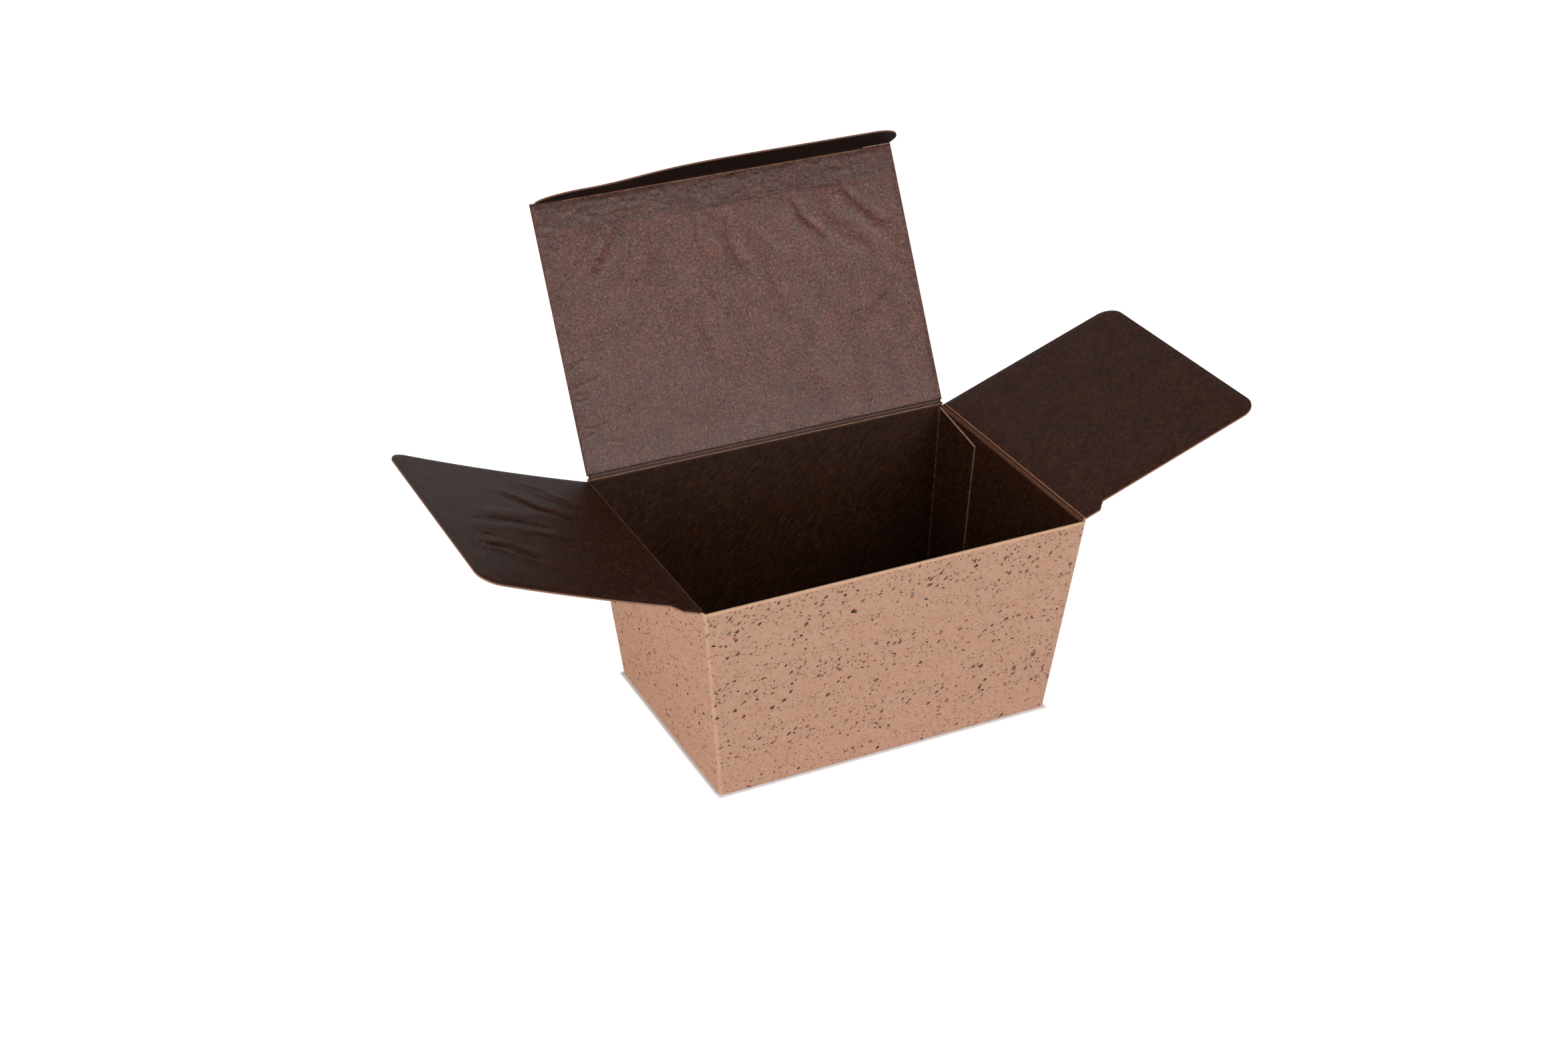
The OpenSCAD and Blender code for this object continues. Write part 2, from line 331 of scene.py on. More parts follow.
@dataclass(frozen=True)
class KraftFinish:
    """Pinkish tan board with long specks, short fibres and a pale cut edge."""

    name: str
    rule: EdgeRule
    facing: Vector3 = (0.0, 0.0, 1.0)
    paper: Colour = from_screen(197, 151, 125)
    pale: Colour = from_screen(209, 166, 141)
    deep: Colour = from_screen(170, 122, 97)
    rust: Colour = from_screen(106, 50, 32)
    soot: Colour = from_screen(38, 22, 20)
    slate: Colour = from_screen(112, 104, 106)
    cut: Colour = from_screen(230, 186, 152)
    # Painted shade for the glue flap's free cut edge inside the tray.
    free_edge_shade: Colour = from_screen(104, 68, 50)
    specks: tuple[Speckle, ...] = (
        Speckle(2.3, 0.58, 0.36, (11.3, 3.1, 7.7), 1.2, 0.25, 0.2),
        Speckle(1.35, 0.4, 0.5, (2.9, 17.1, 5.3), 1.5, 0.5, 0.2),
        Speckle(1.2, 0.34, 0.46, (21.4, 8.2, 1.9), 1.6, -0.15, 0.2),
        Speckle(0.8, 0.25, 0.6, (7.1, 1.3, 13.9), 1.5, 0.4, 0.25),
        Speckle(0.55, 0.19, 0.7, (3.7, 12.9, 4.1), 1.3, 0.1, 0.3),
    )
    smudges: Speckle = Speckle(3.6, 1.0, 0.42, (31.0, 2.4, 9.6), 1.3, 0.3, 0.9)

    def _flecks(self, tree: NodeTree, point: Socket, size: Speckle) -> tuple[Varying, Varying]:
        """Flecks of one size.

        Args:
            tree: the material's tree.
            point: place on the board, in millimetres.
            size: the flecks' size and number.

        Returns:
            How much of the surface a fleck covers, from 0 to 1, and a random tint for each.
        """
        x, y, z = tree.parts(tree.moved(point, size.shift))
        grain = tree.noise(point, 0.6 * size.radius, 1.0)
        squeeze = 1 / (size.stretch * size.spacing)
        level = z - (x + y * -1.0) * size.lean
        place = tree.joined(x * squeeze, y * squeeze, level * (1 / size.spacing))
        settings = {"voronoi_dimensions": "3D", "feature": "F1"}
        cells = tree.node("ShaderNodeTexVoronoi", settings, {"Vector": place, "Scale": 1.0})
        chance, share, tint = tree.parts(cells.outputs["Color"])
        reach = (share * share * 0.8 + 0.35) * (size.radius / size.spacing)
        away = tree.value(cells, "Distance") + (grain - 0.5) * (1.1 * size.radius / size.spacing)
        spot = away.ease(reach, reach * (1 - size.soft)) * (1 - chance.over(size.presence))
        return spot, tint

    def _cut_edges(self, tree: NodeTree, point: Socket) -> Varying:
        """1 on the cut edges of the board, and 0 on its faces."""
        normal = tree.node("ShaderNodeTexCoord").outputs["Normal"]
        if self.rule is EdgeRule.PANEL:
            return 1 - tree.along(normal, self.facing).size().ease(0.35, 0.6)
        _, _, up = tree.parts(normal)
        _, _, z = tree.parts(point)
        return up.over(0.3) * z.over(6.0)

    def _free_edge(self, tree: NodeTree, point: Socket) -> Varying:
        """1 on the upright cut edge of the glue flap, which looks to the front and is given a
        painted shade.
        """
        _, across, _ = tree.parts(tree.node("ShaderNodeTexCoord").outputs["Normal"])
        _, y, _ = tree.parts(point)
        return (across * -1.0).over(0.5) * y.over(0.0)

    def _worn_folds_and_rim_highlight(self, tree: NodeTree, point: Socket, wobble: Varying) -> Varying:
        """1 where the face is rubbed, on the tray's upright folds and base folds, and on a pale
        line along the front rim, which is a painted highlight.
        """
        x, y, z = tree.parts(point)
        in_x = (x.size() - z * TAPER_W) * -1.0 + HALF_BASE_W
        in_y = (y.size() - z * TAPER_D) * -1.0 + HALF_BASE_D
        upright = (in_x * in_x + in_y * in_y).maths("SQRT")
        rubbed = (upright + (wobble - 0.5) * 1.2).ease(1.15, 0.3)
        foot = (z + (wobble - 0.5) * 1.0).ease(0.75, 0.15)
        # Painted highlight: a pale line along the top of the front wall's outer face.
        rim = (z + (wobble - 0.5) * 0.6).ease(60.5, 60.9) * (y * -1.0).over(30.0)
        return rubbed.at_least(foot * 0.6).at_least(rim * 2.4)

    def make(self) -> bpy.types.Material:
        """Makes the material."""
        material = bpy.data.materials.new(self.name)
        tree = NodeTree(material)
        point = tree.point()
        broad = tree.noise(point, 14.0, 3.0)
        patch = tree.noise(point, 2.2, 3.0, 0.6)
        x, y, z = tree.parts(point)
        drawn = tree.joined(x * 0.5, y * 0.5, z - (x - y) * 0.4)
        grain = tree.noise(drawn, 0.42, 2.0, 0.6)
        colour = tree.mix(patch.ease(0.3, 0.75) * 0.5 + broad * 0.25, self.paper, self.pale)
        colour = tree.mix(grain.ease(0.5, 0.85) * 0.45, colour, self.deep)
        smudge, _ = self._flecks(tree, point, self.smudges)
        broken = tree.noise(drawn, 0.5, 1.0).ease(0.42, 0.6)
        colour = tree.mix(smudge * broken * 0.6, colour, self.slate)
        for size in self.specks:
            spot, tint = self._flecks(tree, point, size)
            ink = tree.mix(tint.ease(0.45, 0.7), self.rust, self.soot)
            ink = tree.mix(tint.over(0.92), ink, self.slate)
            colour = tree.mix(spot * (tint * 0.2 + 0.8), colour, ink)
        line = (tree.noise(point, 5.5, 1.0) - 0.5).size().ease(0.007, 0.003)
        gate = tree.noise(tree.moved(point, (40.0, 9.0, 2.0)), 2.6, 1.0).ease(0.6, 0.66)
        colour = tree.mix(line * gate * 0.6, colour, self.soot)
        edge = self._cut_edges(tree, point)
        colour = tree.mix(edge * (patch * 0.4 + 0.7), colour, self.cut)
        if self.rule is EdgeRule.TRAY:
            # Rubbed folds, and the painted highlight along the front rim, both drawn towards the
            # pale cut colour.
            worn = self._worn_folds_and_rim_highlight(tree, point, patch)
            colour = tree.mix(worn * 0.32, colour, self.cut)
            # Painted shade: the glue flap's upright cut edge is darkened to a brown.
            colour = tree.mix(self._free_edge(tree, point) * 0.75, colour, self.free_edge_shade)
        height = grain * 0.6 + patch * 0.4
        tree.surface(colour, 0.85 - grain * 0.1, tree.bump(height, 0.05, 0.5), 0.3)
        return material


def tones(*screen: Vector3) -> dict[str, Colour]:
    """The four colours of a lining, from their screen colours."""
    return dict(zip(("brown", "red", "black", "fibre"), (from_screen(*c) for c in screen)))


@dataclass(frozen=True)
class LiningFinish:
    """Dark brown lining paper with a dull sheen, reddish clouds and short fibres."""

    name: str
    brown: Colour = from_screen(54, 32, 25)
    red: Colour = from_screen(72, 40, 29)
    black: Colour = from_screen(30, 19, 16)
    fibre: Colour = from_screen(92, 60, 46)
    rubbed: Colour = from_screen(176, 122, 92)
    roughness: float = 0.5
    gloss: float = 0.5
    depth: float = 0.12
    contrast: float = 0.6
    strokes: float = 0.0
    worn_fold: bool = False

    def _body(self, tree: NodeTree, point: Socket) -> tuple[Socket, Varying]:
        """Colour of the paper, and its grain.

        Args:
            tree: the material's tree.
            point: place on the paper, in millimetres.

        Returns:
            The colour's socket, and the grain from 0 to 1.
        """
        cloud = tree.noise(point, 6.0, 3.0, 0.6)
        fleck = tree.noise(tree.moved(point, (9.0, 4.0, 17.0)), 1.1, 2.0, 0.6)
        grain = tree.noise(point, 0.65, 4.0, 0.85)
        colour = tree.mix((cloud * 0.6 + fleck * 0.5).ease(0.45, 0.7) * 0.7, self.brown, self.red)
        colour = tree.mix(grain.ease(0.5, 0.39) * self.contrast, colour, self.black)
        colour = tree.mix(grain.ease(0.535, 0.66) * self.contrast * 0.7, colour, self.fibre)
        if self.strokes:
            x, y, z = tree.parts(point)
            slant = tree.joined((x + z) * 0.22, y * 0.5, z - x + y * 0.6)
            brushed = tree.noise(slant, 0.9, 3.0, 0.7)
            colour = tree.mix(brushed.ease(0.5, 0.7) * self.strokes, colour, self.fibre)
            colour = tree.mix(brushed.ease(0.5, 0.3) * self.strokes, colour, self.black)
        line = (tree.noise(point, 2.6, 1.0) - 0.5).size().ease(0.01, 0.004)
        gate = tree.noise(tree.moved(point, (5.0, 31.0, 8.0)), 1.7, 1.0).ease(0.62, 0.7)
        return tree.mix(line * gate * 0.55, colour, self.fibre), grain

    def _corner_line(self, tree: NodeTree, point: Socket) -> Varying:
        """1 on the wavy pale line along the inside fold of the back right corner."""
        x, y, z = tree.parts(point)
        wave = tree.noise(tree.joined(z * 0.0, z * 0.0, z), 6.0, 2.0) - 0.5
        off_x = x - z * TAPER_W - (HALF_BASE_W - 1.02) + wave * 0.8
        off_y = y - z * TAPER_D - (HALF_BASE_D - 0.55)
        away = (off_x * off_x + off_y * off_y).maths("SQRT")
        return away.ease(0.5, 0.24) * tree.noise(point, 1.4, 1.0).ease(0.25, 0.6)

    def make(self) -> bpy.types.Material:
        """Makes the material."""
        material = bpy.data.materials.new(self.name)
        tree = NodeTree(material)
        point = tree.point()
        colour, grain = self._body(tree, point)
        if self.worn_fold:
            colour = tree.mix(self._corner_line(tree, point) * 0.3, colour, self.rubbed)
        rough = self.roughness + (grain - 0.5) * 0.35
        tree.surface(colour, rough, tree.bump(grain, self.depth, 0.8), self.gloss)
        return material


@dataclass(frozen=True)
class LidFinish(LiningFinish):
    """Lining of the lid, pasted down along its edges, with painted shade in the crinkled band
    there.
    """

    panel: "Panel | None" = None
    # Painted shade for the crinkled band along the lid's edges and for the fold at its inner edge.
    band_shade: Colour = from_screen(42, 29, 25)
    front: float = 68.4
    sides: float = 50.5

    def _body(self, tree: NodeTree, point: Socket) -> tuple[Socket, Varying]:
        """Colour of the paper with painted shade in its edge band and on the fold at the band's
        inner edge, and its grain.
        """
        colour, grain = super()._body(tree, point)
        origin = tuple(float(-c) for c in self.panel.origin)
        inside = tree.moved(point, origin)
        out = tree.along(inside, tuple(float(c) for c in self.panel.along))
        aside, _, _ = tree.parts(inside)
        wander = (tree.noise(point, 9.0, 2.0) - 0.5) * 3.0
        edge = out + wander * 0.5
        front = edge.ease(self.front - 0.3, self.front + 0.3)
        sides = (aside * -1.0 + wander).ease(self.sides - 2.0, self.sides + 4.0)
        vein = (tree.noise(point, 1.8, 3.0, 0.7) - 0.5).size().ease(0.05, 0.01)
        # Painted shade: the crinkled band is darkened, more along dark veins between the crinkles.
        shade = front.at_least(sides * 0.6) * (vein * 0.55 + 0.15)
        # Painted shade: a dark line along the fold at the band's inner edge.
        fold_shade = (edge - self.front).size().ease(0.4, 0.12)
        fold_shade = fold_shade * aside.ease(-10.0, -4.0) * aside.ease(42.0, 36.0)
        return tree.mix(shade.at_least(fold_shade * 0.6), colour, self.band_shade), grain


@dataclass(frozen=True)
class RubbedLine:
    """Line along a crease where the lining is rubbed pale: its place across, and its look."""

    place: float
    half_width: float
    strength: float
    wander: float = 0.12


@dataclass(frozen=True)
class CreaseFinish(LiningFinish):
    """Lining paper over a crease, with rubbed lines placed by the strip's own UV map."""

    gloss: float = 0.15
    lines: tuple[RubbedLine, ...] = ()
    band: float = 0.0
    band_half: float = 1.0

    def make(self) -> bpy.types.Material:
        """Makes the material."""
        material = bpy.data.materials.new(self.name)
        tree = NodeTree(material)
        point = tree.point()
        colour, grain = self._body(tree, point)
        across, run, _ = tree.parts(tree.node("ShaderNodeTexCoord").outputs["UV"])
        streak = tree.noise(tree.joined(across * 2.2, run * 0.22, 0.0), 1.0, 2.0, 0.6)
        if self.band:
            wide = across.size() + (streak - 0.5) * 0.8
            share = wide.ease(self.band_half, self.band_half * 0.6) * self.band
            colour = tree.mix(share, colour, self.fibre)
        for i, line in enumerate(self.lines):
            drift = tree.noise(tree.joined(run, 7.0 * i, 0.0), 9.0, 2.0) - 0.5
            centre = drift * (2 * line.wander) + line.place
            width = tree.noise(tree.joined(run, 3.0 + 7.0 * i, 0.0), 2.5, 3.0, 0.7) * 1.3 + 0.3
            away = (across - centre).size() / (width * line.half_width)
            mark = away.ease(1.1, 0.55) * (streak * 0.8 + 0.45) * line.strength
            colour = tree.mix(mark, colour, self.rubbed)
        rough = self.roughness + (grain - 0.5) * 0.3
        tree.surface(colour, rough, tree.bump(grain, self.depth, 0.7), self.gloss)
        return material


@dataclass(frozen=True)
class Blank:
    """Sizes of the folded blank, as in the part's source."""

    board: float = 0.45
    lining: float = 0.08
    top_w: float = 113.0
    top_d: float = 80.5
    base_w: float = 100.0
    base_d: float = 68.0
    back_h: float = 62.0
    side_h: float = 61.0
    crease_gap: float = 0.65
    lining_short: float = 0.12
    lid_w: float = 112.4
    lid_l: float = 77.22
    lid_lean: float = 27.7
    tuck_gap: float = 0.45
    tuck_l: float = 16.0
    tuck_w: float = 110.4
    tuck_corner: float = 11.0
    tuck_bend: float = 82.7
    tuck_shut: float = 0.344
    slit_l: float = 8.6
    slit_w: float = 2.0
    flap_l: float = 60.5
    flap_back_gap: float = 0.95
    flap_front_gap: float = 3.9
    shoulder_gap: float = 1.25
    shoulder_l: float = 5.4
    shoulder_slope: float = 2.5
    flap_corner: float = 5.5
    right_rise: float = 20.0
    left_rise: float = 19.0
    left_curl: float = 700.0

    def half_w(self, z: float) -> float:
        """Half of the outside width at a height."""
        return self.base_w / 2 + z * (self.top_w - self.base_w) / 2 / self.back_h

    def half_d(self, z: float) -> float:
        """Half of the outside depth at a height."""
        return self.base_d / 2 + z * (self.top_d - self.base_d) / 2 / self.back_h

    @property
    def sheet(self) -> float:
        """Thickness of the board and its lining."""
        return self.board + self.lining


@dataclass(frozen=True)
class Panel:
    """A panel's own frame: across it, away from its crease, and out of its lined face."""

    origin: np.ndarray
    across: np.ndarray
    along: np.ndarray
    normal: np.ndarray
    curl: float = 0.0

    def place(self, u: np.ndarray, v: np.ndarray, n: np.ndarray) -> np.ndarray:
        """Points of the panel.

        A point is origin + u * across + v * along + h * normal. On a flat panel the height h
        is n. On a curled one it lies on a circle about a centre above the crease, so
        h = curl - root((curl - n) ^ 2 - v ^ 2).

        Args:
            u: place along the crease.
            v: distance from the crease.
            n: height over the kraft face.

        Returns:
            The points, in metres.
        """
        u, v, n = np.broadcast_arrays(u, v, n)
        height = n if not self.curl else self.curl - np.sqrt((self.curl - n) ** 2 - v**2)
        sums = u[..., None] * self.across + v[..., None] * self.along
        return MM * (self.origin + sums + height[..., None] * self.normal)


def value_noise(u: np.ndarray, v: np.ndarray, cell: float, seed: int) -> np.ndarray:
    """Smooth random heights on a grid of cells.

    Each cell corner has a random number, and a point takes the four round it, weighted by
    t * t * (3 - 2 * t) of its shares t of the way across the cell.

    Args:
        u, v: the points.
        cell: width of a cell.
        seed: the start of the random numbers.

    Returns:
        Numbers from 0 to 1.
    """
    table = np.random.default_rng(seed).random((256, 256))
    a, b = u / cell + 1000, v / cell + 1000
    i, j = np.floor(a).astype(int), np.floor(b).astype(int)
    s, t = a - i, b - j
    s, t = s * s * (3 - 2 * s), t * t * (3 - 2 * t)
    i0, i1, j0, j1 = i % 256, (i + 1) % 256, j % 256, (j + 1) % 256
    low = table[i0, j0] * (1 - s) + table[i1, j0] * s
    high = table[i0, j1] * (1 - s) + table[i1, j1] * s
    return low * (1 - t) + high * t


def eased(value: np.ndarray, low: float, high: float) -> np.ndarray:
    """Smooth step from 0 at low to 1 at high."""
    t = np.clip((value - low) / (high - low), 0, 1)
    return t * t * (3 - 2 * t)


@dataclass(frozen=True)
class Wrinkle:
    """Ridge in the lining where the paper came loose, or with a height below 0 a furrow."""

    path: tuple[tuple[float, float], ...]
    height: float
    width: float

    def relief(self, u: np.ndarray, v: np.ndarray) -> np.ndarray:
        """Height of the ridge.

        For the nearest leg of the path, it is height * exp(-(d / width) ^ 2), where d is the
        distance from the leg, times a smooth fall to nothing at the path's two ends.

        Args:
            u, v: the points.

        Returns:
            The heights there.
        """
        points = np.array(self.path)
        legs = np.linalg.norm(np.diff(points, axis=0), axis=1)
        total, start = legs.sum(), 0.0
        best = np.zeros(np.broadcast(u, v).shape)
        for (a, b), length in zip(zip(points[:-1], points[1:]), legs):
            way = (b - a) / length
            t = np.clip((u - a[0]) * way[0] + (v - a[1]) * way[1], 0, length)
            away = np.hypot(u - a[0] - t * way[0], v - a[1] - t * way[1])
            run = (start + t) / total
            fade = eased(run, 0.0, 0.25) * eased(run, 1.0, 0.75)
            best = np.maximum(best, np.exp(-((away / self.width) ** 2)) * fade)
            start += length
        return self.height * best


def closed_sheet(
    name: str, upper: np.ndarray, lower: np.ndarray, across: np.ndarray, run: np.ndarray
) -> bpy.types.Object:
    """Closed sheet between two grids of points.

    The faces are the squares of the upper grid, those of the lower grid turned over, and a
    ring of squares that joins the two round their edge. The UV map gives each point's place
    across and along the sheet, in millimetres.

    Args:
        name: the piece's name.
        upper: rows of points of the face that shows, in metres.
        lower: the same for the face below.
        across: each point's place across the sheet.
        run: each point's place along the sheet.

    Returns:
        The piece, with its normals pointing out of the upper face.
    """
    rows, columns = upper.shape[:2]
    index = np.arange(rows * columns).reshape(rows, columns)
    corners = index[:-1, :-1], index[:-1, 1:], index[1:, 1:], index[1:, :-1]
    top = np.stack(corners, -1).reshape(-1, 4)
    bottom = top[:, ::-1] + rows * columns
    rim = np.concatenate([index[0, :-1], index[:-1, -1], index[-1, :0:-1], index[:0:-1, 0]])
    nxt = np.roll(rim, -1)
    side = np.stack([nxt, rim, rim + rows * columns, nxt + rows * columns], -1)
    faces = np.concatenate([top, bottom, side])
    first = upper[1, 0] - upper[0, 0]
    second = upper[0, 1] - upper[0, 0]
    if np.dot(np.cross(second, first), upper[0, 0] - lower[0, 0]) < 0:
        faces = faces[:, ::-1]
    points = np.concatenate([upper.reshape(-1, 3), lower.reshape(-1, 3)])
    mesh = bpy.data.meshes.new(name)
    mesh.vertices.add(len(points))
    mesh.vertices.foreach_set("co", points.astype(np.float32).ravel())
    mesh.loops.add(faces.size)
    mesh.loops.foreach_set("vertex_index", faces.astype(np.int32).ravel())
    mesh.polygons.add(len(faces))
    mesh.polygons.foreach_set("loop_start", np.arange(0, faces.size, 4, dtype=np.int32))
    mesh.update(calc_edges=True)
    shown = np.zeros(len(faces), bool)
    shown[: len(top) + len(bottom)] = True
    mesh.polygons.foreach_set("use_smooth", shown)
    chart = np.stack([np.broadcast_to(across, index.shape), np.broadcast_to(run, index.shape)], -1)
    chart = np.concatenate([chart.reshape(-1, 2)] * 2)[faces.ravel()]
    mesh.uv_layers.new(name="UVMap").data.foreach_set("uv", chart.astype(np.float32).ravel())
    mesh.validate()
    piece = bpy.data.objects.new(name, mesh)
    bpy.context.scene.collection.objects.link(piece)
    return piece


@dataclass
class LiningSheet:
    """Lining paper of one panel, with the relief that the paste left in it."""

    name: str
    node: str
    body: str
    panel: Panel
    blank: Blank
    step: float
    relief_limit: float = 0.75
    wrinkles: tuple[Wrinkle, ...] = ()
    finish: bpy.types.Material | None = None
    colour: str = "dark_lining"

    def rows(self) -> np.ndarray:
        """Distances of the grid's rows from the crease."""
        raise NotImplementedError

    def sides(self, v: np.ndarray) -> tuple[np.ndarray, np.ndarray]:
        """Left and right end of each row."""
        raise NotImplementedError

    def crinkles(self, u: np.ndarray, v: np.ndarray) -> np.ndarray:
        """Fine relief of the sheet, besides its wrinkles."""
        return 0 * u

    def layer(self) -> tuple[float, float]:
        """Heights of the sheet's two faces over the crease."""
        return self.blank.board, self.blank.sheet

    def warp(self, u: np.ndarray, v: np.ndarray) -> np.ndarray:
        """Lift of the whole sheet from its panel."""
        return 0 * u

    def relief(self, u: np.ndarray, v: np.ndarray) -> np.ndarray:
        """Height of the paper over its flat face.

        The wrinkles' lines are bent by slow noise, so that none is straight. The highest
        ridge and the deepest furrow at a point count. The crinkles are added, and the sum is
        held between the flat face and the limit.

        Args:
            u, v: the points.

        Returns:
            The heights.
        """
        bent_u, bent_v = u, v
        for gain, cell, seeds in ((1.6, 4.0, (5, 7)), (0.5, 1.3, (6, 8))):
            bent_u = bent_u + gain * (value_noise(u, v, cell, seeds[0]) - 0.5)
            bent_v = bent_v + gain * (value_noise(u, v, cell, seeds[1]) - 0.5)
        ridge = np.zeros(np.broadcast(u, v).shape)
        furrow = ridge
        for wrinkle in self.wrinkles:
            shape = wrinkle.relief(bent_u, bent_v)
            ridge, furrow = np.maximum(ridge, shape), np.minimum(furrow, shape)
        height = np.maximum(ridge + furrow + self.crinkles(u, v), 0)
        return self.relief_limit * np.tanh(height / self.relief_limit)

    def build(self) -> bpy.types.Object:
        """Builds the sheet in place of the node's flat lining."""
        v = self.rows()[:, None]
        left, right = self.sides(v)
        count = max(2, round(float((right - left).max()) / self.step))
        share = np.linspace(0, 1, count)[None, :]
        u = left + (right - left) * share
        v = np.broadcast_to(v, u.shape)
        edge = np.minimum(share, 1 - share) * (right - left)
        edge = np.minimum(edge, np.minimum(v - v.min(), v.max() - v))
        bottom, top = self.layer()
        lift = self.warp(u, v)
        upper = self.panel.place(u, v, lift + top + self.relief(u, v) * eased(edge, 0.0, 2.0))
        lower = self.panel.place(u, v, lift + bottom)
        piece = closed_sheet(self.name, upper, lower, u, v)
        piece.data.materials.append(self.finish)
        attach(piece, self.body)
        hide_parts(self.node)
        LOG.info("%s: %d by %d points", self.name, *u.shape)
        return piece


@dataclass
class LidLining(LiningSheet):
    """Lining of the lid: crinkled along its pasted edges, with long slanting wrinkles."""

    band_front: float = 68.0
    band_side: float = 50.0
    calm: float = 9.0
    pressed: float = 0.2

    def rows(self) -> np.ndarray:
        """Even rows from the back crease to the front crease."""
        start, end = self.blank.crease_gap, self.blank.lid_l - self.blank.lining_short
        return np.linspace(start, end, round((end - start) / self.step))

    def sides(self, v: np.ndarray) -> tuple[np.ndarray, np.ndarray]:
        """Straight sides."""
        return 0 * v - self.blank.lid_w / 2, 0 * v + self.blank.lid_w / 2

    def crinkles(self, u: np.ndarray, v: np.ndarray) -> np.ndarray:
        """Crinkled band along the front crease and the two sides.

        Sharp ridges stand where noise passes its middle value. They count fully within the
        band, whose inner edge wanders. Slow waves cover the sheet and die out at the back
        crease, over the calm distance.

        Args:
            u, v: the points.

        Returns:
            The heights.
        """
        wander = 3.0 * (value_noise(u, v, 7.0, 21) - 0.5)
        front = eased(v + wander, self.band_front - 1.0, self.band_front + 1.0)
        side = eased(np.abs(u) + wander, self.band_side - 1.5, self.band_side + 1.5)
        band = np.maximum(front, 0.7 * side * eased(v, 4.0, 40.0))
        ridges = 0.0
        for cell, seed, gain in ((3.0, 31, 0.16), (1.9, 32, 0.15), (1.2, 33, 0.12)):
            wave = 1 - np.abs(2 * value_noise(u * 0.8, v, cell, seed) - 1) * 2.5
            ridges = ridges + gain * np.clip(wave, 0, 1) ** 2
        slow = 0.0
        for cell, seed, gain in ((11.0, 34, 0.32), (6.0, 35, 0.27), (3.2, 36, 0.12)):
            slow = slow + gain * value_noise(u * 1.2, v * 0.7, cell, seed)
        return band * ridges + slow * (1 - 0.5 * band) * eased(v, 0.0, self.calm)

    def build(self) -> bpy.types.Object:
        """Builds the lining, and gives the piece a mesh of its own."""
        piece = super().build()
        face = self.panel.origin + self.blank.board * self.panel.normal
        anchor = tuple(float(c) for c in MM * face)
        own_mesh(piece)
        return piece


@dataclass
class FlapLining(LiningSheet):
    """Lining of a side flap, with round corners and a shoulder beside the crease."""

    amount: float = 1.0
    seed: int = 50

    def rows(self) -> np.ndarray:
        """Even rows, and closer ones round the corners and along the shoulder's slope."""
        b = self.blank
        corner = b.flap_l - b.flap_corner
        straight = np.linspace(b.crease_gap, corner, round((corner - b.crease_gap) / self.step))
        quarter = np.linspace(0, math.pi / 2, 18)[1:]
        return np.concatenate([straight, corner + b.flap_corner * np.sin(quarter)])

    def sides(self, v: np.ndarray) -> tuple[np.ndarray, np.ndarray]:
        """Front and back end of each row.

        Past the shoulder and its slope the front is straight, and each corner's end moves in
        by r - root(r ^ 2 - d ^ 2), where d is the row's distance past the arc's start.
        """
        b = self.blank
        half = b.half_d(b.side_h)
        past = np.clip(v - (b.flap_l - b.flap_corner), 0, b.flap_corner)
        arc = b.flap_corner - np.sqrt(np.maximum(b.flap_corner**2 - past**2, 0))
        slope = np.clip((v - b.shoulder_l) / b.shoulder_slope, 0, 1)
        front = -(half - b.shoulder_gap) + slope * (b.flap_front_gap - b.shoulder_gap)
        return front + arc, half - b.flap_back_gap - arc

    def crinkles(self, u: np.ndarray, v: np.ndarray) -> np.ndarray:
        """Slow waves all over, and fine creases near the free edge and the back edge."""
        free = eased(v, 44.0, 50.0) * eased(v, 58.0, 53.0)
        back = eased(u, 22.0, 34.0)
        fine = np.clip(1 - np.abs(2 * value_noise(u * 0.25, v * 1.5, 1.5, self.seed) - 1) * 3, 0, 1)
        slow = 0.0
        for cell, seed, gain in ((9.0, 1, 0.3), (5.0, 2, 0.16), (2.6, 3, 0.07)):
            slow = slow + gain * value_noise(u, v, cell, self.seed + seed)
        return self.amount * (np.maximum(free, back) * 0.16 * fine + slow)


